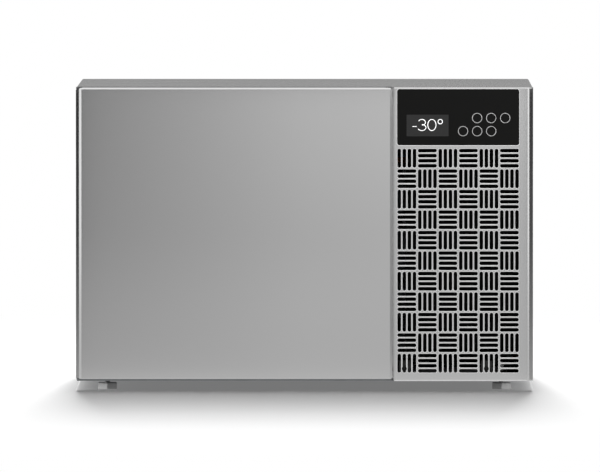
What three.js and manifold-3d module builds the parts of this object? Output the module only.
// Counter-top blast chiller for three 2/3-size gastronorm pans, as an assembly of separate pieces.
// Millimetres. +X is to the right seen from the front, +Y is away from the viewer, +Z is up.
// The origin lies on the floor, under the middle of the case. Inside the case, heights are counted
// from the underside of the base pan, and the whole case stands on its feet at FOOT_CLEARANCE.
import * as THREE from "three";
import { mergeGeometries, mergeVertices } from "three/addons/utils/BufferGeometryUtils.js";
import Module from "manifold-3d";

const wasm = await Module();
wasm.setup();

// ---------------------------------------------------------------- driving dimensions

const WIDTH = 658; // over the case
const DEPTH = 630; // front of the door to the power inlet's flange
const BODY_HEIGHT = 423; // underside of the base pan to the top
const FOOT_CLEARANCE = 13.5; // floor to the base pan
const SHEET = 1.2; // stainless sheet of the case
const THIN_SHEET = 1; // door skin and liners
const GAP = 0.3; // between neighbours that touch

const FRONT = -DEPTH / 2;
const LEFT = -WIDTH / 2;
const RIGHT = WIDTH / 2;
const PANEL_BACK = DEPTH / 2 - 2; // outside of the rear panel
const CABINET_FACE = FRONT + 50; // where the door's gasket seals
const EDGE_RADIUS = 9; // the rounded outer edges of the door and the fascia
const FOLD_RADIUS = 2; // an ordinary sheet bend

const DOOR = {
  left: LEFT,
  right: 126.5,
  bottom: 3.3,
  top: 422.7,
  back: CABINET_FACE - 8.3, // rear of the skin
  bevel: 3.4, // lets the hinge edge swing past the fascia
  hem: 8,
};
const FASCIA = { left: DOOR.right + 2.2, right: RIGHT, bottom: 0, top: BODY_HEIGHT, back: FRONT + 12 };
const SHELL_FRONT = FASCIA.back + GAP; // the case reaches the fascia beside the door

const GLASS = { left: 133.6, right: 308.7, bottom: 339.7, top: 420, radius: 3.3, thick: 3 };
const WINDOW = { left: 146.7, right: 207.9, bottom: 352.1, top: 384.4 }; // read-out seen in the glass

const GRILLE = {
  left: 134.5,
  bottom: 12.8,
  columns: 6,
  rows: 11,
  pitch: 29.5, // from one group of slots to the next
  slotWidth: 4.3,
  slotLength: 26.3,
  slotPitch: 7.3,
  slotsPerGroup: 4,
  accessRadius: 3.1, // widening for the screwdriver
  accessColumns: [0, 4],
  accessHeight: 18,
};

const CAVITY = { left: -277, right: 71, bottom: 51, top: 372, back: 255, corner: 12 };
const FOAM = { left: LEFT + 3, right: 117.7, bottom: 1.5, top: 421.5, front: -263.2, back: 309.5 };
const PARTITION_X = FOAM.right + GAP;
const OPENING = {
  x: (CAVITY.left + CAVITY.right) / 2,
  z: (CAVITY.bottom + CAVITY.top) / 2,
  halfWidth: (CAVITY.right - CAVITY.left) / 2,
  halfHeight: (CAVITY.top - CAVITY.bottom) / 2,
};

const HINGE = { x: 118.5, y: FRONT + 8, pinRadius: 3.5, boreRadius: 3.8, armBottom: 408, armThick: 4 };
const DOOR_MIDDLE = (DOOR.bottom + DOOR.top) / 2;
const GRIP = { halfHeight: 115, depth: 18, front: FRONT + 18, wall: 2 };

const RACK = {
  levels: [78, 163, 248],
  front: -238,
  back: 118,
  ledge: 14, // under the pan's rim
  guideRise: 14,
  wall: 1.5,
  post: 3.5, // from the liner to the channels
};
const DEFLECTOR = { y: 138, bottom: 72, top: 351, left: -262, right: 56 };
const EVAPORATOR_FAN = { x: OPENING.x, z: OPENING.z, radius: 92 };
const CONDENSER = { left: 146, right: 322, bottom: 46, top: 334, front: -296, back: -254 };
const CONDENSER_FAN = { x: 234, z: 190, radius: 80 };
const COMPRESSOR = { x: 226, y: -62, radius: 78, bottom: 14, height: 176 };
const PIPE_PORT = { y: 232, z: 300, radius: 15 };
const DRAIN = { x: OPENING.x, y: 200, radius: 9 };

const FEET = { x: 284, front: FRONT + 63, back: 250, acrossFlats: 27, height: 10, stemRadius: 4 };
const INLET = { x: 268, z: 52, width: 50, height: 32 };
const VENT = { columns: [194, 270], bottom: 92, rows: 7, pitch: 30, length: 68, width: 8 };
const SCREW_TAB = { halfWidth: 8, top: 29 }; // carries a fascia screw behind its access hole

// ---------------------------------------------------------------- finishes

const finish = (color, roughness, metalness) =>
  new THREE.MeshStandardMaterial({ color, roughness, metalness });
const STAINLESS = finish(0xb4b4b4, 0.35, 0.9);
const GALVANISED = finish(0x9a9da0, 0.5, 0.8);
const DARK_PLASTIC = finish(0x2b2b2d, 0.6, 0);
const BLACK_GLASS = finish(0x1d1d1b, 0.08, 0);
const SCREEN = finish(0x3a3a3a, 0.3, 0);
const CIRCUIT_GREEN = finish(0x2c5a3a, 0.6, 0);
const FOAM_YELLOW = finish(0xd9c48e, 0.95, 0);
const RUBBER = finish(0x2a2a2b, 0.8, 0);
const NYLON = finish(0xd8d6cc, 0.5, 0);
const PIN_STEEL = finish(0x8f9294, 0.3, 1);
const ALUMINIUM = finish(0xb9bcbf, 0.45, 0.9);
const BLACK_PAINT = finish(0x161616, 0.45, 0.2);
const COPPER = finish(0xb4683f, 0.35, 1);
const FOOT_GREY = finish(0x8b8b8b, 0.45, 0.3);

// ---------------------------------------------------------------- solids

/** A closed three.js geometry as a solid that can be joined and cut. */
function solid(geometry) {
  const bare = geometry.clone();
  bare.deleteAttribute("normal");
  bare.deleteAttribute("uv");
  const merged = mergeVertices(bare, 1e-4);
  return new wasm.Manifold(
    new wasm.Mesh({
      numProp: 3,
      vertProperties: new Float32Array(merged.attributes.position.array),
      triVerts: new Uint32Array(merged.index.array),
    }),
  );
}

/** A solid as a geometry with flat facets. */
function geometryOf(body) {
  const mesh = body.getMesh();
  const geometry = new THREE.BufferGeometry();
  geometry.setAttribute("position", new THREE.BufferAttribute(mesh.vertProperties, 3));
  geometry.setIndex(new THREE.BufferAttribute(mesh.triVerts, 1));
  const facets = geometry.toNonIndexed();
  facets.computeVertexNormals();
  return facets;
}

const join = (first, ...others) => others.reduce((sum, next) => sum.add(next), first);
const cut = (first, ...others) => others.reduce((rest, next) => rest.subtract(next), first);

/** A block between two corners, each given as [x, y, z]. */
function block([x0, y0, z0], [x1, y1, z1]) {
  const box = new THREE.BoxGeometry(x1 - x0, y1 - y0, z1 - z0);
  return solid(box.translate((x0 + x1) / 2, (y0 + y1) / 2, (z0 + z1) / 2));
}

/** Turns a geometry made along Z so that it runs along the named axis. */
function alongAxis(geometry, axis) {
  const [x, y, z] = [new THREE.Vector3(1, 0, 0), new THREE.Vector3(0, 1, 0), new THREE.Vector3(0, 0, 1)];
  if (axis === "x") geometry.applyMatrix4(new THREE.Matrix4().makeBasis(y, z, x));
  if (axis === "y") geometry.applyMatrix4(new THREE.Matrix4().makeBasis(x, z, y.negate()));
  return geometry;
}

/** A flat shape pushed along an axis: drawn in (x, y) for z, in (y, z) for x, in (x, z) for y. */
function prismGeometry(shape, axis, from, to, arcSteps = 4) {
  const geometry = new THREE.ExtrudeGeometry(shape, {
    depth: to - from,
    bevelEnabled: false,
    curveSegments: arcSteps,
  });
  alongAxis(geometry, axis);
  const start = { x: [from, 0, 0], y: [0, to, 0], z: [0, 0, from] }[axis];
  return geometry.translate(...start);
}
const prism = (...args) => solid(prismGeometry(...args));

const polygon = (points) => new THREE.Shape(points.map(([u, v]) => new THREE.Vector2(u, v)));

/** A rectangle whose corners are arcs. */
function roundedRectangle(left, right, bottom, top, radius) {
  const shape = new THREE.Shape();
  shape.absarc(right - radius, bottom + radius, radius, -Math.PI / 2, 0);
  shape.absarc(right - radius, top - radius, radius, 0, Math.PI / 2);
  shape.absarc(left + radius, top - radius, radius, Math.PI / 2, Math.PI);
  shape.absarc(left + radius, bottom + radius, radius, Math.PI, 1.5 * Math.PI);
  return shape;
}

/** A turned piece: a profile of [radius, height] pairs from the bottom of the axis to its top. */
function turned(profile, axis, [x, y, z], segments = 20) {
  const lathe = new THREE.LatheGeometry(profile.map(([r, h]) => new THREE.Vector2(r, h)), segments);
  lathe.rotateX(Math.PI / 2);
  return solid(alongAxis(lathe, axis).translate(x, y, z));
}

/** A ring or bush: a closed profile that stays off the axis. */
const turnedRing = (profile, axis, place, segments) =>
  turned([...profile, profile[0]], axis, place, segments);

const disc = (radius, from, to, axis, place, segments = 16) =>
  turned([[0, from], [radius, from], [radius, to], [0, to]], axis, place, segments);

/** A profile of [outward offset, y] pairs led round a rectangle in the XZ plane, corners mitred. */
function mitredFrame({ x, z, halfWidth, halfHeight }, profile) {
  const corners = [[-1, -1], [1, -1], [1, 1], [-1, 1]];
  const positions = corners.flatMap(([sx, sz]) =>
    profile.flatMap(([offset, y]) => [x + sx * (halfWidth + offset), y, z + sz * (halfHeight + offset)]),
  );
  const count = profile.length;
  const index = [];
  corners.forEach((_, corner) => {
    const here = corner * count;
    const next = ((corner + 1) % corners.length) * count;
    for (let i = 0; i < count; i += 1) {
      const j = (i + 1) % count;
      index.push(here + i, next + i, next + j, here + i, next + j, here + j);
    }
  });
  const geometry = new THREE.BufferGeometry();
  geometry.setAttribute("position", new THREE.Float32BufferAttribute(positions, 3));
  geometry.setIndex(index);
  return solid(geometry);
}

/** Corner points of a pipe run with each corner replaced by steps round a bend. */
function bentPath(points, bendRadius, steps = 3) {
  const corners = points.map((p) => new THREE.Vector3(...p));
  const path = [corners[0]];
  for (let i = 1; i < corners.length - 1; i += 1) {
    const along = (to) => to.clone().sub(corners[i]).setLength(bendRadius).add(corners[i]);
    const bend = new THREE.QuadraticBezierCurve3(along(corners[i - 1]), corners[i], along(corners[i + 1]));
    path.push(...bend.getPoints(steps));
  }
  return [...path, corners.at(-1)];
}

/** A five-sided pipe along a run of corner points, closed by flat ends. */
function bentTube(points, radius, bendRadius, sides = 5) {
  const path = bentPath(points, bendRadius);
  const positions = [];
  let across = new THREE.Vector3(0.3, 0.5, 0.8);
  path.forEach((place, i) => {
    const ahead = path[Math.min(i + 1, path.length - 1)];
    const behind = path[Math.max(i - 1, 0)];
    const tangent = ahead.clone().sub(behind).normalize();
    across = across.clone().addScaledVector(tangent, -across.dot(tangent)).normalize();
    const up = tangent.clone().cross(across);
    for (let k = 0; k < sides; k += 1) {
      const angle = (2 * Math.PI * k) / sides;
      const point = place.clone().addScaledVector(across, radius * Math.cos(angle));
      positions.push(...point.addScaledVector(up, radius * Math.sin(angle)).toArray());
    }
  });
  const index = [];
  for (let ring = 0; ring < path.length - 1; ring += 1)
    for (let k = 0; k < sides; k += 1) {
      const [a, b] = [ring * sides + k, ring * sides + ((k + 1) % sides)];
      index.push(a, b, b + sides, a, b + sides, a + sides);
    }
  const last = (path.length - 1) * sides;
  for (let k = 1; k < sides - 1; k += 1) {
    index.push(0, k + 1, k);
    index.push(last, last + k, last + k + 1);
  }
  const geometry = new THREE.BufferGeometry();
  geometry.setAttribute("position", new THREE.Float32BufferAttribute(positions, 3));
  geometry.setIndex(index);
  return solid(geometry);
}

/** A block whose far face, at the higher y, is drawn in by the same amount all round. */
function taperedBlock([x0, y0, z0], [x1, y1, z1], inset) {
  const box = new THREE.BoxGeometry(x1 - x0, y1 - y0, z1 - z0);
  const place = box.attributes.position;
  for (let i = 0; i < place.count; i += 1) {
    if (place.getY(i) < 0) continue;
    place.setX(i, place.getX(i) - Math.sign(place.getX(i)) * inset);
    place.setZ(i, place.getZ(i) - Math.sign(place.getZ(i)) * inset);
  }
  return solid(box.translate((x0 + x1) / 2, (y0 + y1) / 2, (z0 + z1) / 2));
}

/** A solid moved by a matrix. Mirrored triangles swap two corners, so that they still face outwards. */
function moved(body, matrix) {
  const { vertProperties, triVerts } = body.getMesh();
  const corners = matrix.determinant() < 0 ? triVerts.slice().reverse() : triVerts;
  const geometry = new THREE.BufferGeometry();
  geometry.setAttribute("position", new THREE.BufferAttribute(vertProperties, 3));
  geometry.setIndex(new THREE.BufferAttribute(corners, 1));
  return solid(geometry.applyMatrix4(matrix));
}

/** Swaps a solid made for the top of the door for one at its bottom. */
function mirroredToBottom(body) {
  const mirror = new THREE.Matrix4().makeScale(1, 1, -1);
  return moved(body, mirror.setPosition(0, 0, 2 * DOOR_MIDDLE));
}

// ---------------------------------------------------------------- assembly

const chiller = new THREE.Group();
const body = new THREE.Group();
const cabinet = new THREE.Group();
const frontPanel = new THREE.Group();
const door = new THREE.Group();
const foodSpace = new THREE.Group();
const refrigeration = new THREE.Group();
const feet = new THREE.Group();
body.position.z = FOOT_CLEARANCE;
body.add(cabinet, frontPanel, door, foodSpace, refrigeration, feet);
chiller.add(body);

function add(group, name, made, material) {
  const mesh = new THREE.Mesh(geometryOf(made), material);
  mesh.name = name;
  group.add(mesh);
  return mesh;
}

/** Where the four feet stand: front left, front right, back left, back right. */
function footPlaces() {
  return [FEET.front, FEET.back].flatMap((y) => [[-FEET.x, y], [FEET.x, y]]);
}

// ---------------------------------------------------------------- case

/** Top and two sides in one folded sheet. Beside the door it reaches forward to the fascia. */
function outerShell() {
  const outer = 3;
  const shape = new THREE.Shape();
  const low = GAP;
  shape.moveTo(LEFT, low);
  shape.lineTo(LEFT + SHEET, low);
  shape.absarc(LEFT + outer, BODY_HEIGHT - outer, outer - SHEET, Math.PI, Math.PI / 2, true);
  shape.absarc(RIGHT - outer, BODY_HEIGHT - outer, outer - SHEET, Math.PI / 2, 0, true);
  shape.lineTo(RIGHT - SHEET, low);
  shape.lineTo(RIGHT, low);
  shape.absarc(RIGHT - outer, BODY_HEIGHT - outer, outer, 0, Math.PI / 2);
  shape.absarc(LEFT + outer, BODY_HEIGHT - outer, outer, Math.PI / 2, Math.PI);
  const wrap = prism(shape, "y", SHELL_FRONT, PANEL_BACK - SHEET - 2 * GAP, 3);
  const doorSpace = block([LEFT - 1, SHELL_FRONT - 1, -1], [FASCIA.left, CABINET_FACE, BODY_HEIGHT + 1]);
  return cut(wrap, doorSpace);
}

/** Floor of the case with upturned edges and welded nuts. It runs forward under the door. */
function basePan() {
  const side = WIDTH / 2 - SHEET - GAP;
  const back = PANEL_BACK - SHEET - 2 * GAP;
  const lip = 12;
  const lipFront = FOAM.front + 1;
  const floor = block([-side, SHELL_FRONT, 0], [side, back, SHEET]);
  const lips = cut(
    block([-side, lipFront, 0], [side, back, lip]),
    block([-side + SHEET, lipFront - 1, SHEET], [side - SHEET, back - SHEET, lip + 1]),
  );
  const tabs = accessPlaces().map((x) => screwTab(x, SHELL_FRONT, 0));
  const nuts = footPlaces().map(([x, y]) => disc(7.5, 0, 14, "z", [x, y, 0], 6));
  const threads = footPlaces().map(([x, y]) =>
    disc(FEET.stemRadius + GAP, -1, 15, "z", [x, y, 0], 6),
  );
  const drainHole = disc(DRAIN.radius + 1, -1, 3, "z", [DRAIN.x, DRAIN.y, 0], 8);
  const screwHoles = accessPlaces().map((x) =>
    disc(2.2, -5, 5, "y", [x, SHELL_FRONT, GRILLE.accessHeight], 6),
  );
  return cut(join(floor, lips, ...tabs, ...nuts), ...threads, drainHole, ...screwHoles);
}

/** Upright tab of sheet behind an access hole, its front face at `front`. */
const screwTab = (x, front, bottom) =>
  block([x - SCREW_TAB.halfWidth, front, bottom], [x + SCREW_TAB.halfWidth, front + SHEET, SCREW_TAB.top]);

/** Back of the case, with rows of slots for the warm air and a cut-out for the power inlet. */
function rearPanel() {
  const outside = WIDTH / 2 - 0.5;
  const sheet = prism(
    roundedRectangle(-outside, outside, 0.5, BODY_HEIGHT - 0.5, 3),
    "y",
    PANEL_BACK - SHEET,
    PANEL_BACK,
    1,
  );
  const slots = [];
  for (const x of VENT.columns)
    for (let row = 0; row < VENT.rows; row += 1) {
      const slot = new THREE.BoxGeometry(VENT.length, 6, VENT.width);
      slots.push(slot.translate(x, PANEL_BACK, VENT.bottom + row * VENT.pitch));
    }
  const inletHole = block(
    [INLET.x - 16, PANEL_BACK - 5, INLET.z - 12],
    [INLET.x + 16, PANEL_BACK + 5, INLET.z + 12],
  );
  return cut(sheet, solid(mergeGeometries(slots)), inletHole);
}

/** Rigid foam between the case and the liner. */
function foamBox() {
  const grown = {
    left: CAVITY.left - THIN_SHEET - GAP,
    right: CAVITY.right + THIN_SHEET + GAP,
    bottom: CAVITY.bottom - THIN_SHEET - GAP,
    top: CAVITY.top + THIN_SHEET + GAP,
  };
  const outside = block([FOAM.left, FOAM.front, FOAM.bottom], [FOAM.right, FOAM.back, FOAM.top]);
  const inside = prism(
    roundedRectangle(grown.left, grown.right, grown.bottom, grown.top, CAVITY.corner),
    "y",
    FOAM.front - 1,
    CAVITY.back + THIN_SHEET + GAP,
    2,
  );
  const rebate = 14;
  const flangeSeat = block(
    [CAVITY.left - rebate, FOAM.front - 1, CAVITY.bottom - rebate],
    [CAVITY.right + rebate, FOAM.front + 1.3, CAVITY.top + rebate],
  );
  const footPockets = footPlaces().map(([x, y]) => disc(8.5, 0, 28, "z", [x, y, 0], 6));
  const drainHole = disc(DRAIN.radius + 1, 0, CAVITY.bottom, "z", [DRAIN.x, DRAIN.y, 0], 8);
  const pipeHole = disc(PIPE_PORT.radius, 60, 130, "x", [0, PIPE_PORT.y, PIPE_PORT.z], 8);
  const probePocket = disc(9, 60, 92, "x", [0, PROBE.y, PROBE.z], 8);
  return cut(outside, inside, flangeSeat, ...footPockets, drainHole, pipeHole, probePocket);
}

const PROBE = { y: -205, z: 340 };

/** Stainless tank with coved corners, open at the front, with a narrow flange round its mouth. */
function cavityLiner() {
  const t = THIN_SHEET;
  const shape = (grow, radius) =>
    roundedRectangle(
      CAVITY.left - grow,
      CAVITY.right + grow,
      CAVITY.bottom - grow,
      CAVITY.top + grow,
      radius,
    );
  const tank = prism(shape(t, CAVITY.corner + t), "y", FOAM.front, CAVITY.back + t, 2);
  const flange = prism(shape(13, 2), "y", FOAM.front, FOAM.front + t, 1);
  const space = prism(shape(0, CAVITY.corner), "y", FOAM.front - 1, CAVITY.back, 2);
  const drainHole = disc(DRAIN.radius - 2, 0, CAVITY.bottom + 5, "z", [DRAIN.x, DRAIN.y, 0], 8);
  const pipeHole = disc(PIPE_PORT.radius, 60, 90, "x", [0, PIPE_PORT.y, PIPE_PORT.z], 8);
  const probeHole = disc(7.6, 60, 90, "x", [0, PROBE.y, PROBE.z], 8);
  return cut(join(tank, flange), space, drainHole, pipeHole, probeHole);
}

/** Plastic strip round the mouth that keeps the cold liner off the warm case. */
function thermalBreak() {
  const back = FOAM.front - GAP;
  return mitredFrame(OPENING, [
    [14, back],
    [14, CABINET_FACE],
    [1.5, CABINET_FACE],
    [0, CABINET_FACE + 0.8],
    [0, back],
  ]);
}

/** Stainless frame of the cabinet's face, on which the gasket seals. */
function doorFrame() {
  const inner = 14.5;
  const outline = roundedRectangle(FOAM.left - 1.3, 97.5, FOAM.bottom, FOAM.top, 2);
  outline.holes.push(
    polygon([
      [CAVITY.left - inner, CAVITY.bottom - inner],
      [CAVITY.left - inner, CAVITY.top + inner],
      [CAVITY.right + inner, CAVITY.top + inner],
      [CAVITY.right + inner, CAVITY.bottom - inner],
    ]),
  );
  return prism(outline, "y", CABINET_FACE, FOAM.front - GAP, 1);
}

/** Angle of thick sheet between door and machine side, which carries the hinges. */
function hingePost() {
  const thick = 2;
  const side = FASCIA.left + 1.2;
  const outline = polygon([
    [98, CABINET_FACE],
    [side - thick, CABINET_FACE],
    [side - thick, SHELL_FRONT + 2.4],
    [side, SHELL_FRONT + 2.4],
    [side, FOAM.front - GAP],
    [98, FOAM.front - GAP],
  ]);
  return prism(outline, "z", SHEET + GAP, FOAM.top);
}

/** Channel-shaped wall between the insulated box and the machinery. */
function partitionWall() {
  const x = PARTITION_X;
  const front = FOAM.front + 0.5;
  const flange = 15;
  const outline = polygon([
    [x, front],
    [x + flange, front],
    [x + flange, front + SHEET],
    [x + SHEET, front + SHEET],
    [x + SHEET, FOAM.back - SHEET],
    [x + flange, FOAM.back - SHEET],
    [x + flange, FOAM.back],
    [x, FOAM.back],
  ]);
  const hole = disc(PIPE_PORT.radius, 100, 140, "x", [0, PIPE_PORT.y, PIPE_PORT.z], 8);
  return cut(prism(outline, "z", SHEET + GAP, FOAM.top), hole);
}

add(cabinet, "outer_shell", outerShell(), STAINLESS);
add(cabinet, "base_pan", basePan(), GALVANISED);
add(cabinet, "rear_panel", rearPanel(), GALVANISED);
add(cabinet, "foam_box", foamBox(), FOAM_YELLOW);
add(cabinet, "cavity_liner", cavityLiner(), STAINLESS);
add(cabinet, "thermal_break", thermalBreak(), DARK_PLASTIC);
add(cabinet, "door_frame", doorFrame(), STAINLESS);
add(cabinet, "hinge_post", hingePost(), STAINLESS);
add(cabinet, "partition_wall", partitionWall(), GALVANISED);

// ---------------------------------------------------------------- front panel

/** Where the screwdriver reaches the fascia screws, through two slots of the lowest groups. */
function accessPlaces() {
  const second = (GRILLE.slotsPerGroup - 1) / 2 - 1;
  return GRILLE.accessColumns.map(
    (column) =>
      GRILLE.left + GRILLE.slotLength / 2 + column * GRILLE.pitch - second * GRILLE.slotPitch,
  );
}

/** The fascia's outside, drawn in by `inset`, as a solid that reaches back to `back`. */
function fasciaBlock(inset, back) {
  const edge = EDGE_RADIUS - inset;
  const fold = Math.max(FOLD_RADIUS - inset, 0.2);
  const front = FRONT + inset;
  const plan = new THREE.Shape();
  plan.moveTo(FASCIA.left + inset, back);
  plan.lineTo(FASCIA.left + inset, front + fold);
  plan.absarc(FASCIA.left + inset + fold, front + fold, fold, Math.PI, 1.5 * Math.PI);
  plan.absarc(FASCIA.right - EDGE_RADIUS, FRONT + EDGE_RADIUS, edge, -Math.PI / 2, 0);
  plan.lineTo(FASCIA.right - inset, back);
  const side = new THREE.Shape();
  side.moveTo(back, FASCIA.top - inset);
  side.lineTo(front + fold, FASCIA.top - inset);
  side.absarc(front + fold, FASCIA.top - inset - fold, fold, Math.PI / 2, Math.PI);
  side.absarc(front + fold, FASCIA.bottom + inset + fold, fold, Math.PI, 1.5 * Math.PI);
  side.lineTo(back, FASCIA.bottom + inset);
  return prism(plan, "z", -1, BODY_HEIGHT + 1, 3).intersect(prism(side, "x", 120, RIGHT + 1, 2));
}

/** The basket-weave slots: groups of four, upright and lying by turns like a chessboard. */
function grilleCutter() {
  const slots = [];
  const { pitch, slotWidth, slotLength, slotPitch, slotsPerGroup } = GRILLE;
  for (let row = 0; row < GRILLE.rows; row += 1)
    for (let column = 0; column < GRILLE.columns; column += 1) {
      const upright = (row + column) % 2 === 0;
      const x = GRILLE.left + slotLength / 2 + column * pitch;
      const z = GRILLE.bottom + slotLength / 2 + row * pitch;
      for (let i = 0; i < slotsPerGroup; i += 1) {
        const offset = (i - (slotsPerGroup - 1) / 2) * slotPitch;
        const [width, height] = upright ? [slotWidth, slotLength] : [slotLength, slotWidth];
        const slot = new THREE.BoxGeometry(width, 4, height);
        slots.push(slot.translate(upright ? x + offset : x, FRONT, upright ? z : z + offset));
      }
    }
  return solid(mergeGeometries(slots));
}

/** Bent front sheet of the machine side, with the grille, the glass cut-out and two screw tabs. */
function fasciaPanel() {
  const tray = cut(fasciaBlock(0, FASCIA.back), fasciaBlock(SHEET, FASCIA.back + 1));
  const tabs = accessPlaces().map((x) => screwTab(x, FASCIA.back - SHEET, 0.4));
  const glassHole = prism(
    roundedRectangle(
      GLASS.left - GAP,
      GLASS.right + GAP,
      GLASS.bottom - GAP,
      GLASS.top + GAP,
      GLASS.radius + GAP,
    ),
    "y",
    FRONT - 2,
    FRONT + 3,
    2,
  );
  const access = accessPlaces().map((x) =>
    disc(GRILLE.accessRadius, -4, 4, "y", [x, FRONT, GRILLE.accessHeight], 8),
  );
  const screwHoles = accessPlaces().map((x) =>
    disc(2.2, -3, 3, "y", [x, FASCIA.back, GRILLE.accessHeight], 6),
  );
  return cut(join(tray, ...tabs), grilleCutter(), glassHole, ...access, ...screwHoles);
}

/** Pan-head screw, its axis along Y with the head towards the viewer. */
function fasciaScrew(x) {
  const head = FASCIA.back - SHEET - GAP;
  return turned(
    [[0, 0], [1.8, 0], [1.8, 12], [3.4, 12], [3.4, 13.2], [2.4, 14.4], [0, 14.4]],
    "y",
    [x, head + 12, GRILLE.accessHeight],
    6,
  );
}

function controlGlass() {
  const { left, right, bottom, top, radius, thick } = GLASS;
  return prism(roundedRectangle(left, right, bottom, top, radius), "y", FRONT, FRONT + thick, 2);
}

const HOUSING = { left: 131.2, right: 311.1, bottom: 337.3, top: 421.4, front: FRONT + 1.5, back: -283 };
const GLASS_BACK = FRONT + GLASS.thick;

/** Moulded tray behind the glass that holds the screen and the control board. */
function controlHousing() {
  const { left, right, bottom, top, front, back } = HOUSING;
  const tray = prism(roundedRectangle(left, right, bottom, top, 3), "y", front, back, 2);
  const glassSeat = block(
    [GLASS.left - GAP, front - 1, GLASS.bottom - GAP],
    [GLASS.right + GAP, GLASS_BACK + GAP, GLASS.top + GAP],
  );
  const inside = block([left + 6, front, bottom + 7], [right - 6, back - 2.5, top - 7]);
  const cableSlot = block([250, back - 5, 355], [290, back + 1, 368]);
  return cut(tray, glassSeat, inside, cableSlot);
}

function displayModule() {
  const margin = 4.5;
  return join(
    block(
      [WINDOW.left - margin, GLASS_BACK + 0.6, WINDOW.bottom - margin],
      [WINDOW.right + margin, GLASS_BACK + 7, WINDOW.top + margin],
    ),
    block([WINDOW.left, GLASS_BACK + 0.4, WINDOW.bottom], [WINDOW.right, GLASS_BACK + 1, WINDOW.top]),
  );
}

/** Circuit board with its relays, buzzer and plug row. */
function controlBoard() {
  const front = GLASS_BACK + 7.5;
  const back = front + 1.6;
  const relay = (x) => block([x, back - 0.5, 392], [x + 15, back + 11, 411]);
  return join(
    block([139, front, 346], [303, back, 413]),
    relay(150),
    relay(172),
    block([225, back - 0.5, 350], [296, back + 8, 360]),
    disc(6, -8, 0.5, "y", [285, back, 398], 8),
  );
}

add(frontPanel, "fascia_panel", fasciaPanel(), STAINLESS);
accessPlaces().forEach((x, i) => add(frontPanel, `fascia_screw_${i + 1}`, fasciaScrew(x), PIN_STEEL));
add(frontPanel, "control_glass", controlGlass(), BLACK_GLASS);
add(frontPanel, "control_housing", controlHousing(), DARK_PLASTIC);
add(frontPanel, "display_module", displayModule(), SCREEN);
add(frontPanel, "control_board", controlBoard(), CIRCUIT_GREEN);

// ---------------------------------------------------------------- door

/** The door's outside, drawn in by `inset`: rounded left edge, bevelled hinge edge, small folds. */
function doorBlock(inset, back, low = DOOR.bottom + inset, high = DOOR.top - inset) {
  const slant = (Math.SQRT2 - 1) * inset;
  const front = FRONT + inset;
  const plan = new THREE.Shape();
  plan.moveTo(DOOR.right - inset, back);
  plan.lineTo(DOOR.left + inset, back);
  plan.absarc(DOOR.left + EDGE_RADIUS, FRONT + EDGE_RADIUS, EDGE_RADIUS - inset, Math.PI, 1.5 * Math.PI);
  plan.lineTo(DOOR.right - DOOR.bevel - slant, front);
  plan.lineTo(DOOR.right - inset, FRONT + DOOR.bevel + slant);
  const fold = Math.max(FOLD_RADIUS - inset, 0.2);
  const side = new THREE.Shape();
  side.moveTo(back, high);
  side.lineTo(front + fold, high);
  side.absarc(front + fold, high - fold, fold, Math.PI / 2, Math.PI);
  side.absarc(front + fold, low + fold, fold, Math.PI, 1.5 * Math.PI);
  side.lineTo(back, low);
  const upright = prism(plan, "z", low - 1, high + 1, 4);
  return upright.intersect(prism(side, "x", DOOR.left - 1, DOOR.right + 1, 2));
}

const CORE_BACK = DOOR.back - THIN_SHEET - GAP; // rear of what fills the skin
const CAP_DEPTH = 29; // height of a corner cap
const LEFT_CAP = { from: DOOR.left, to: -305, notch: -320 };
const RIGHT_CAP = { from: 98, to: DOOR.right, notch: 117.4 };
const ARM_SLOT = { left: 105.5, bottom: HINGE.armBottom - 2, top: HINGE.armBottom + 7.5 };

/** Space that the hinge arm sweeps inside the door, open at its back and its right side. */
const armSlot = (front) =>
  block([ARM_SLOT.left, front, ARM_SLOT.bottom], [DOOR.right + 5, CABINET_FACE, ARM_SLOT.top]);

/** The recess for the fingers, open at the door's left side and back. */
const gripRecess = (grow) =>
  block(
    [DOOR.left - 1, GRIP.front - grow, DOOR_MIDDLE - GRIP.halfHeight - grow],
    [DOOR.left + GRIP.depth + grow, CABINET_FACE, DOOR_MIDDLE + GRIP.halfHeight + grow],
  );

/** Stainless tray with hems at its rear. Its ends are notched over the corner caps. */
function doorSkin() {
  const outside = doorBlock(0, DOOR.back);
  const inside = doorBlock(THIN_SHEET, DOOR.back - THIN_SHEET);
  const mouth = block(
    [DOOR.left + DOOR.hem, CORE_BACK - 1, DOOR.bottom + DOOR.hem],
    [DOOR.right - DOOR.hem, DOOR.back + 1, DOOR.top - DOOR.hem],
  );
  const upper = DOOR.top - 4;
  const coreLimit = doorBlock(THIN_SHEET, CORE_BACK + GAP, upper, DOOR.top + 5);
  const notch = (from, to) => coreLimit.intersect(block([from, FRONT, upper], [to, 0, DOOR.top + 9]));
  const notches = [notch(DOOR.left, LEFT_CAP.notch), notch(RIGHT_CAP.notch, DOOR.right)];
  const slot = armSlot(FRONT + DOOR.bevel + 1.1);
  return cut(
    outside,
    inside,
    mouth,
    ...notches,
    ...notches.map(mirroredToBottom),
    slot,
    mirroredToBottom(slot),
    gripRecess(0),
  );
}

/** Everything that may stand inside the skin, with clearance. */
const doorCore = () => doorBlock(THIN_SHEET + GAP, CORE_BACK);

function doorFoam() {
  const low = DOOR.top - THIN_SHEET - CAP_DEPTH - GAP;
  const corner = ({ from, to }, side) =>
    block([from - (side < 0 ? 1 : GAP), FRONT, low], [to + (side < 0 ? GAP : 1), 0, DOOR.top]);
  const corners = [corner(LEFT_CAP, -1), corner(RIGHT_CAP, 1)];
  return cut(
    doorCore(),
    ...corners,
    ...corners.map(mirroredToBottom),
    gripRecess(GRIP.wall + GAP),
  );
}

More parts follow.
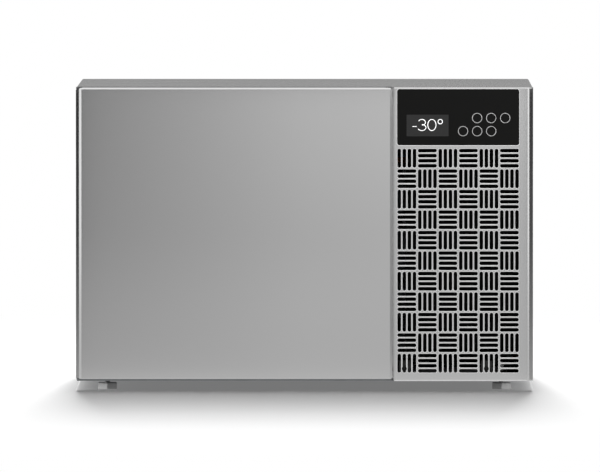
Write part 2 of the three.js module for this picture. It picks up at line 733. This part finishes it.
/** Moulded filler in a top corner of the door. Its end shows through the skin's notch. */
function plainCap({ from, to, notch }) {
  const low = DOOR.top - THIN_SHEET - CAP_DEPTH;
  const seat = doorCore().intersect(block([from, FRONT, low], [to, 0, DOOR.top]));
  const tall = doorBlock(THIN_SHEET + GAP, CORE_BACK, low, DOOR.top - 0.3);
  const [a, b] = notch < 0 ? [from, notch - GAP] : [notch + GAP, to];
  return join(seat, tall.intersect(block([a, FRONT, DOOR.top - 8], [b, 0, DOOR.top + 5])));
}

/** The filler on the hinge side: slotted for the arm and bored for the bush. */
function hingeCap() {
  const bore = disc(5.7, 0, 41, "z", [HINGE.x, HINGE.y, HINGE.armBottom - 40], 8);
  return cut(plainCap(RIGHT_CAP), armSlot(FRONT), bore);
}

/** Flanged nylon bush that turns on the pin. */
function hingeBush() {
  const top = HINGE.armBottom - GAP;
  const flangeBottom = ARM_SLOT.bottom + GAP;
  return turnedRing(
    [
      [HINGE.boreRadius, top - 14],
      [5.2, top - 14],
      [5.2, flangeBottom],
      [6.4, flangeBottom],
      [6.4, top],
      [HINGE.boreRadius, top],
    ],
    "z",
    [HINGE.x, HINGE.y, 0],
    8,
  );
}

/** Inner panel of the door, pressed towards the food space inside the gasket. */
function doorLiner() {
  const front = DOOR.back + GAP;
  const back = front + THIN_SHEET;
  const edge = 3;
  const pressed = { margin: 6, draft: 6, rise: 5.5 };
  const corner = (sign, grow) => [
    OPENING.x + sign * (OPENING.halfWidth - pressed.margin - grow),
    OPENING.z + sign * (OPENING.halfHeight - pressed.margin - grow),
  ];
  const panel = (grow, y0, y1) => {
    const [x0, z0] = corner(-1, grow);
    const [x1, z1] = corner(1, grow);
    return taperedBlock([x0, y0, z0], [x1, y1, z1], pressed.draft);
  };
  const flange = block(
    [DOOR.left + edge, front, DOOR.bottom + edge],
    [DOOR.right - edge, back, DOOR.top - edge],
  );
  const top = armSlot(FRONT);
  return cut(
    join(flange, panel(0, back - 0.5, back + pressed.rise)),
    panel(THIN_SHEET, front - 1, back + pressed.rise - THIN_SHEET),
    top,
    mirroredToBottom(top),
    gripRecess(GRIP.wall + GAP),
  );
}

/** Magnetic gasket: foot, bellows and the flat bar that meets the cabinet's face. */
function doorGasket() {
  const foot = DOOR.back + THIN_SHEET + 2 * GAP;
  const face = CABINET_FACE - GAP;
  return mitredFrame(OPENING, [
    [9, foot],
    [9, foot + 1.1],
    [11.5, foot + 1.7],
    [11.5, foot + 2.4],
    [6, foot + 3.3],
    [6, face],
    [23, face],
    [23, foot + 3.3],
    [17.5, foot + 2.4],
    [17.5, foot + 1.7],
    [20, foot + 1.1],
    [20, foot],
  ]);
}

/** Moulded cup that lines the finger recess. */
function doorGrip() {
  const { wall, depth, halfHeight, front } = GRIP;
  const left = DOOR.left + THIN_SHEET + GAP;
  const cup = block(
    [left, front - wall, DOOR_MIDDLE - halfHeight - wall],
    [DOOR.left + depth + wall, CORE_BACK, DOOR_MIDDLE + halfHeight + wall],
  );
  const recess = block(
    [left - 1, front + 0.3, DOOR_MIDDLE - halfHeight + 0.3],
    [DOOR.left + depth, CORE_BACK + 1, DOOR_MIDDLE + halfHeight - 0.3],
  );
  return cut(cup, recess);
}

/** Cranked arm from the hinge post to the pin, with its screw plate. */
function hingeArm() {
  const { x, y, armBottom, armThick, boreRadius } = HINGE;
  const plateFront = CABINET_FACE - GAP - 2.2;
  const neck = polygon([
    [x - 12, plateFront + 1],
    [x - 12, y + 8],
    [x - 6, y + 1],
    [x - 1, y + 5],
    [x - 1, plateFront + 1],
  ]);
  const eye = disc(6, armBottom, armBottom + armThick, "z", [x, y, 0], 8);
  const plate = block([x - 19.5, plateFront, armBottom - 34], [x + 2.5, CABINET_FACE - GAP, armBottom + 11]);
  const arm = join(prism(neck, "z", armBottom, armBottom + armThick), eye, plate);
  const pinHole = disc(boreRadius, armBottom - 1, armBottom + armThick + 1, "z", [x, y, 0], 8);
  const screwHoles = [-26, -12].map((drop) =>
    disc(2.6, -5, 5, "y", [x - 8.5, CABINET_FACE, armBottom + drop], 6),
  );
  return cut(arm, pinHole, ...screwHoles);
}

function hingePin() {
  const { armBottom, armThick, pinRadius } = HINGE;
  const head = armBottom + armThick + GAP;
  return turned(
    [
      [0, armBottom - 13],
      [pinRadius - 0.6, armBottom - 13],
      [pinRadius, armBottom - 12.4],
      [pinRadius, head],
      [5, head],
      [5, head + 2],
      [0, head + 2],
    ],
    "z",
    [HINGE.x, HINGE.y, 0],
    8,
  );
}

add(door, "door_skin", doorSkin(), STAINLESS);
add(door, "door_foam", doorFoam(), FOAM_YELLOW);
add(door, "door_liner", doorLiner(), STAINLESS);
add(door, "door_gasket", doorGasket(), RUBBER);
add(door, "door_grip", doorGrip(), DARK_PLASTIC);
add(door, "door_cap_top_left", plainCap(LEFT_CAP), DARK_PLASTIC);
add(door, "door_cap_bottom_left", mirroredToBottom(plainCap(LEFT_CAP)), DARK_PLASTIC);
add(door, "door_cap_top_right", hingeCap(), DARK_PLASTIC);
add(door, "door_cap_bottom_right", mirroredToBottom(hingeCap()), DARK_PLASTIC);
add(door, "hinge_bush_top", hingeBush(), NYLON);
add(door, "hinge_bush_bottom", mirroredToBottom(hingeBush()), NYLON);
add(cabinet, "hinge_arm_top", hingeArm(), PIN_STEEL);
add(cabinet, "hinge_arm_bottom", mirroredToBottom(hingeArm()), PIN_STEEL);
add(cabinet, "hinge_pin_top", hingePin(), PIN_STEEL);
add(cabinet, "hinge_pin_bottom", mirroredToBottom(hingePin()), PIN_STEEL);

// ---------------------------------------------------------------- food space

/** Pan rack of one side: three channels for the pans' rims on two flat posts against the liner. */
function panRack(side) {
  const { levels, front, back, ledge, guideRise, wall, post } = RACK;
  const face = side < 0 ? CAVITY.left : CAVITY.right;
  const at = (offset) => face - side * offset;
  const channel = (z) => {
    const outline = [
      [at(post), z - wall],
      [at(post + ledge), z - wall],
      [at(post + ledge), z],
      [at(post + wall), z],
      [at(post + wall), z + guideRise - wall],
      [at(post + ledge - 6), z + guideRise - wall],
      [at(post + ledge - 6), z + guideRise],
      [at(post), z + guideRise],
    ];
    return prism(polygon(side < 0 ? outline : outline.reverse()), "y", front, back);
  };
  const [near, far] = [at(GAP), at(post + 0.2)].sort((a, b) => a - b);
  const posts = [front + 30, back - 50].map((y) =>
    block([near, y, levels[0] - 14], [far, y + 20, levels.at(-1) + guideRise + 22]),
  );
  return join(...posts, ...levels.map(channel));
}

/** Folded sheet in front of the evaporator: the fan draws through it and blows out at both sides. */
function fanDeflector() {
  const { y, bottom, top, left, right } = DEFLECTOR;
  const back = CAVITY.back - GAP;
  const outline = polygon([
    [y, bottom],
    [back, bottom],
    [back, bottom + SHEET],
    [y + SHEET, bottom + SHEET],
    [y + SHEET, top - SHEET],
    [back, top - SHEET],
    [back, top],
    [y, top],
  ]);
  const throat = disc(EVAPORATOR_FAN.radius + 5, -5, 5, "y", [EVAPORATOR_FAN.x, y, EVAPORATOR_FAN.z], 16);
  return cut(prism(outline, "x", left, right), throat);
}

/** Round guard: concentric rings on a cross of two bars. */
function fanGuard({ x, z, radius }, y, shares) {
  const wire = 1.6;
  const reach = radius + 8;
  const rings = shares.map((share) => {
    const middle = share * reach;
    const profile = [
      [middle - wire, 0],
      [middle + wire, 0],
      [middle + wire, 2 * wire],
      [middle - wire, 2 * wire],
    ];
    return turnedRing(profile, "y", [x, y, z], 12);
  });
  return join(
    disc(14, 0, 2 * wire, "y", [x, y, z], 8),
    block([x - reach, y - 2, z - wire], [x + reach, y, z + wire]),
    block([x - wire, y - 2, z - reach], [x + wire, y, z + reach]),
    ...rings,
  );
}

/** Axial rotor: a hub with a row of curved, pitched blades. It is made round the Y axis. */
function fanRotor(radius, depth, blades) {
  const hubRadius = radius * 0.3;
  const hub = turnedRing(
    [
      [6, -depth / 2],
      [hubRadius, -depth / 2],
      [hubRadius, depth / 2 - 3],
      [hubRadius - 3, depth / 2],
      [6, depth / 2],
    ],
    "y",
    [0, 0, 0],
    10,
  );
  const span = radius - hubRadius + 2;
  const made = [];
  for (let i = 0; i < blades; i += 1) {
    const blade = new THREE.BoxGeometry(span, 1.8, radius * 0.62, 1, 1, 2);
    const place = blade.attributes.position;
    for (let v = 0; v < place.count; v += 1) {
      const out = (place.getX(v) + span / 2) / span;
      const chord = place.getZ(v) * (0.65 + 0.35 * out);
      const camber = 0.0045 * chord * chord;
      const pitch = THREE.MathUtils.degToRad(34 - 12 * out);
      const rise = place.getY(v) + camber;
      const around = chord * Math.cos(pitch) - rise * Math.sin(pitch);
      const distance = hubRadius - 2 + out * span;
      place.setXYZ(
        v,
        Math.sqrt(distance ** 2 - around ** 2),
        rise * Math.cos(pitch) + chord * Math.sin(pitch),
        around,
      );
    }
    made.push(solid(blade.rotateY((i * 2 * Math.PI) / blades)));
  }
  return join(hub, ...made);
}

/** Fan motor: round can, shaft towards the viewer, three arms with feet that reach forward. */
function fanMotor(reach, length, footFront) {
  const can = turned(
    [
      [0, -length],
      [26, -length],
      [26, -5],
      [20, 0],
      [5, 0],
      [5, 14],
      [0, 14],
    ],
    "y",
    [0, 0, 0],
    10,
  );
  const arm = join(block([-4, 6, 15], [4, 9, reach]), block([-4, footFront, reach - 3], [4, 9, reach]));
  const arms = [60, 180, 300].map((degrees) =>
    moved(arm, new THREE.Matrix4().makeRotationY(THREE.MathUtils.degToRad(degrees))),
  );
  return join(can, ...arms);
}

/** Finned coil: a core with upright fins front and back, closed by two end plates. */
function finnedCoil({ left, right, bottom, top, front, back }, fins, core) {
  const middle = (front + back) / 2;
  const pitch = (right - left) / fins;
  const fin = 2.4;
  const points = [];
  for (let i = 0; i < fins; i += 1) {
    const x = left + i * pitch;
    points.push([x, front], [x + fin, front], [x + fin, middle - core / 2]);
    points.push([x + pitch, middle - core / 2]);
  }
  points.push([right, front], [right + fin, front], [right + fin, back], [right, back]);
  for (let i = fins - 1; i >= 0; i -= 1) {
    const x = left + i * pitch;
    points.push([x + pitch, middle + core / 2], [x + fin, middle + core / 2]);
    points.push([x + fin, back], [x, back]);
  }
  return prism(polygon(points), "z", bottom, top);
}

/** Return bends on the left side of a coil, as rings that stand in its end face. */
function returnBends({ left, front, back }, levels, tubeRadius) {
  const bend = Math.min(10, (back - front) / 3);
  return levels.map((z) => {
    const ring = new THREE.TorusGeometry(bend, tubeRadius, 4, 8).rotateX(Math.PI / 2);
    return solid(ring.translate(left, (front + back) / 2, z));
  });
}

const EVAPORATOR = { left: -238, right: 36, bottom: 88, top: 334, front: 214, back: 250 };

function evaporatorCoil() {
  const levels = [130, 210, 290];
  return join(finnedCoil(EVAPORATOR, 10, 9), ...returnBends(EVAPORATOR, levels, 3.6));
}

/** Upright tube from the floor of the food space through the foam to under the case. */
function drainTube() {
  return turnedRing(
    [
      [6.5, -6],
      [DRAIN.radius - 1, -6],
      [DRAIN.radius - 1, 3],
      [DRAIN.radius, 3],
      [DRAIN.radius, CAVITY.bottom - THIN_SHEET - GAP],
      [6.5, CAVITY.bottom - THIN_SHEET - GAP],
    ],
    "z",
    [DRAIN.x, DRAIN.y, 0],
    8,
  );
}

/** Socket in the side wall for a core probe, closed by its cap. It faces the food. */
function probeSocket() {
  return turned(
    [
      [0, -24],
      [7, -24],
      [8, -22.5],
      [10, -21],
      [10, -18],
      [6.6, -18],
      [6.6, 0],
      [0, 0],
    ],
    "x",
    [CAVITY.right + 17.7, PROBE.y, PROBE.z],
    8,
  );
}

add(foodSpace, "rack_left", panRack(-1), STAINLESS);
add(foodSpace, "rack_right", panRack(1), STAINLESS);
add(foodSpace, "fan_deflector", fanDeflector(), STAINLESS);
add(foodSpace, "evaporator_fan_guard", fanGuard(EVAPORATOR_FAN, DEFLECTOR.y - 2.4, [0.4, 0.7, 1]), PIN_STEEL);
const evaporatorMotor = add(foodSpace, "evaporator_fan_motor", fanMotor(104, 26, -35.5), DARK_PLASTIC);
evaporatorMotor.position.set(EVAPORATOR_FAN.x, DEFLECTOR.y + 37, EVAPORATOR_FAN.z);
const evaporatorRotor = add(
  foodSpace,
  "evaporator_fan_rotor",
  fanRotor(EVAPORATOR_FAN.radius, 20, 5),
  DARK_PLASTIC,
);
evaporatorRotor.position.set(EVAPORATOR_FAN.x, DEFLECTOR.y + 24, EVAPORATOR_FAN.z);
add(foodSpace, "evaporator_coil", evaporatorCoil(), ALUMINIUM);
add(foodSpace, "drain_tube", drainTube(), DARK_PLASTIC);
add(foodSpace, "probe_socket", probeSocket(), DARK_PLASTIC);

// ---------------------------------------------------------------- machinery

/** Condenser behind the grille, its fins black, with the bends of its tubes at the left. */
function condenserCoil() {
  const levels = [80, 150, 230, 300];
  return join(finnedCoil(CONDENSER, 10, 10), ...returnBends(CONDENSER, levels, 3.8));
}

/** Sheet box that leads the air from the condenser to the fan's round throat. */
function condenserShroud() {
  const { left, right, bottom, top, back } = CONDENSER;
  const front = back + GAP;
  const rear = front + 34;
  const throat = CONDENSER_FAN.radius + 4;
  const ring = turnedRing(
    [
      [throat, 0],
      [throat + 1.5, 0],
      [throat + 1.5, 22],
      [throat, 22],
    ],
    "y",
    [CONDENSER_FAN.x, rear - 1, CONDENSER_FAN.z],
    14,
  );
  const box = cut(
    block([left, front, bottom], [right, rear, top]),
    block([left + SHEET, front - 1, bottom + SHEET], [right - SHEET, rear - SHEET, top - SHEET]),
    disc(throat, -5, 5, "y", [CONDENSER_FAN.x, rear, CONDENSER_FAN.z], 14),
  );
  return join(box, ring);
}

/** Hermetic compressor: welded upper and lower shells on two foot rails. */
function compressor() {
  const { radius: r, bottom, height } = COMPRESSOR;
  const shell = turned(
    [
      [0, bottom + 8],
      [r * 0.6, bottom + 10],
      [r * 0.88, bottom + 24],
      [r * 0.95, bottom + 48],
      [r * 0.95, bottom + 84],
      [r, bottom + 84],
      [r, bottom + 92],
      [r * 0.94, bottom + 92],
      [r * 0.92, bottom + 132],
      [r * 0.78, bottom + 158],
      [r * 0.5, bottom + 172],
      [0, bottom + height],
    ],
    "z",
    [0, 0, 0],
    14,
  );
  const rail = (sign) =>
    block([-86, sign * GROMMET.y - 14, bottom], [86, sign * GROMMET.y + 14, bottom + 3.5]);
  const web = (sign) => block([-45, sign * 46 - 2, bottom + 1], [45, sign * 46 + 2, bottom + 34]);
  const holes = [-1, 1].flatMap((sx) =>
    [-1, 1].map((sy) => disc(5, bottom - 5, bottom + 9, "z", [sx * GROMMET.x, sy * GROMMET.y, 0], 6)),
  );
  return cut(join(shell, rail(-1), rail(1), web(-1), web(1)), ...holes);
}

const GROMMET = { x: 76, y: 52 };

/** Rubber mount under one of the compressor's feet, held in the foot's hole by its neck. */
function grommet() {
  const low = SHEET + GAP;
  const high = COMPRESSOR.bottom - GAP;
  const waist = (low + high) / 2;
  return turned(
    [
      [0, low],
      [10, low],
      [7.5, waist],
      [10, high],
      [4.3, high],
      [4.3, high + 6],
      [0, high + 6],
    ],
    "z",
    [0, 0, 0],
    6,
  );
}

/** Box with the starting relay on the compressor's side. */
function relayBox() {
  const { radius } = COMPRESSOR;
  const box = block([-27, radius - 8, 70], [27, radius + 28, 132]);
  const lid = block([-29, radius + 20, 68], [29, radius + 25, 134]);
  const shell = disc(radius + 2, 0, 200, "z", [0, 0, 0], 14);
  return cut(join(box, lid), shell);
}

/** Filter drier, a spun copper shell, with the thin pipe brazed to it that feeds the evaporator. */
function filterDrier() {
  const { x, y, bottom } = DRIER;
  const shell = turned(
    [
      [0, 0],
      [5, 0],
      [5, 8],
      [15, 20],
      [15, 92],
      [5, 104],
      [5, 112],
      [0, 112],
    ],
    "z",
    [x, y, bottom],
    10,
  );
  const capillary = bentTube(
    [
      [x, y, bottom + 108],
      [x, y, 250],
      [150, 130, 250],
      [150, PIPE_PORT.y - 7, PIPE_PORT.z - 6],
      [EVAPORATOR.right + 3, PIPE_PORT.y - 7, PIPE_PORT.z - 6],
    ],
    1.8,
    12,
  );
  return join(shell, capillary);
}

const DRIER = { x: 303, y: 96, bottom: 64 };

/** Box for contactors and terminals on the inside of the back. */
function electricalBox() {
  const box = block([196, 236, 296], [322, PANEL_BACK - SHEET - GAP, 414]);
  const lid = prism(roundedRectangle(193, 325, 293, 417, 6), "y", 229, 236.5, 2);
  const gland = disc(9, -8, 3, "z", [214, 270, 296], 8);
  return join(box, lid, gland);
}

/** Power inlet: a flanged socket with its three pins, seen from behind. */
function powerInlet() {
  const { x, z, width, height } = INLET;
  const face = PANEL_BACK + GAP;
  const flange = prism(
    roundedRectangle(x - width / 2, x + width / 2, z - height / 2, z + height / 2, 5),
    "y",
    face,
    DEPTH / 2,
    2,
  );
  const shell = block([x - 15, face - 22, z - 11], [x + 15, face + 0.5, z + 11]);
  const mouth = polygon([
    [x - 12, z - 8],
    [x + 12, z - 8],
    [x + 12, z + 3],
    [x + 7, z + 8],
    [x - 7, z + 8],
    [x - 12, z + 3],
  ]);
  const recess = prism(mouth, "y", face - 15, DEPTH / 2 + 1);
  const pin = (dx, dz) => block([x + dx - 1, face - 16, z + dz - 2], [x + dx + 1, face - 5, z + dz + 2]);
  const screwHoles = [-20, 20].map((dx) => disc(2, -5, 5, "y", [x + dx, face, z], 6));
  return cut(join(cut(join(flange, shell), recess), pin(-7, -2), pin(0, 2), pin(7, -2)), ...screwHoles);
}

/** Hot gas from the top of the compressor up and forward to the head of the condenser. */
const dischargePipe = () =>
  bentTube(
    [
      [272, -42, 181],
      [272, -42, 356],
      [272, -275, 356],
      [272, -275, CONDENSER.top + GAP],
    ],
    3.2,
    14,
  );

/** Liquid from the foot of the condenser along the floor and up into the drier. */
const liquidPipe = () =>
  bentTube(
    [
      [319, -275, CONDENSER.bottom - GAP],
      [319, -275, 22],
      [319, DRIER.y, 22],
      [DRIER.x, DRIER.y, 22],
      [DRIER.x, DRIER.y, DRIER.bottom - GAP],
    ],
    3.2,
    7,
  );

/** Cold gas from the evaporator through the wall and down to the side of the compressor. */
const suctionPipe = () =>
  bentTube(
    [
      [EVAPORATOR.right + 3, PIPE_PORT.y + 2, PIPE_PORT.z + 6],
      [158, PIPE_PORT.y + 2, PIPE_PORT.z + 6],
      [158, 40, PIPE_PORT.z + 6],
      [158, 40, 130],
      [185, 1, 130],
    ],
    4.8,
    16,
  );

add(refrigeration, "condenser_coil", condenserCoil(), BLACK_PAINT);
add(refrigeration, "condenser_shroud", condenserShroud(), GALVANISED);
const condenserMotor = add(refrigeration, "condenser_fan_motor", fanMotor(90, 30, -0.6), BLACK_PAINT);
condenserMotor.position.set(CONDENSER_FAN.x, CONDENSER.back + 35.2, CONDENSER_FAN.z);
const condenserRotor = add(
  refrigeration,
  "condenser_fan_rotor",
  fanRotor(CONDENSER_FAN.radius, 20, 5),
  ALUMINIUM,
);
condenserRotor.position.set(CONDENSER_FAN.x, CONDENSER.back + 21, CONDENSER_FAN.z);
const compressorSet = new THREE.Group();
compressorSet.position.set(COMPRESSOR.x, COMPRESSOR.y, 0);
refrigeration.add(compressorSet);
add(compressorSet, "compressor", compressor(), BLACK_PAINT);
add(compressorSet, "compressor_relay_box", relayBox(), DARK_PLASTIC);
[-1, 1].forEach((sx) =>
  [-1, 1].forEach((sy) => {
    const name = `grommet_${sy < 0 ? "front" : "back"}_${sx < 0 ? "left" : "right"}`;
    add(compressorSet, name, grommet(), RUBBER).position.set(sx * GROMMET.x, sy * GROMMET.y, 0);
  }),
);
add(refrigeration, "filter_drier", filterDrier(), COPPER);
add(refrigeration, "discharge_pipe", dischargePipe(), COPPER);
add(refrigeration, "liquid_pipe", liquidPipe(), COPPER);
add(refrigeration, "suction_pipe", suctionPipe(), COPPER);
add(refrigeration, "electrical_box", electricalBox(), DARK_PLASTIC);
add(refrigeration, "power_inlet", powerInlet(), DARK_PLASTIC);

// ---------------------------------------------------------------- feet

/** Hexagonal levelling foot on a threaded stem. Its underside is the floor. */
function levellingFoot() {
  const { acrossFlats, height, stemRadius } = FEET;
  const corner = acrossFlats / 2 / Math.cos(Math.PI / 6);
  const hexagon = turned(
    [
      [0, 0],
      [corner - 1.5, 0],
      [corner, 1.5],
      [corner, height - 2.2],
      [corner - 3, height],
      [0, height],
    ],
    "z",
    [0, 0, 0],
    6,
  );
  return join(hexagon, disc(stemRadius, height - 1, FOOT_CLEARANCE + 24, "z", [0, 0, 0], 6));
}

footPlaces().forEach(([x, y]) => {
  const name = `foot_${y < 0 ? "front" : "back"}_${x < 0 ? "left" : "right"}`;
  add(feet, name, levellingFoot(), FOOT_GREY).position.set(x, y, -FOOT_CLEARANCE);
});

export default chiller;
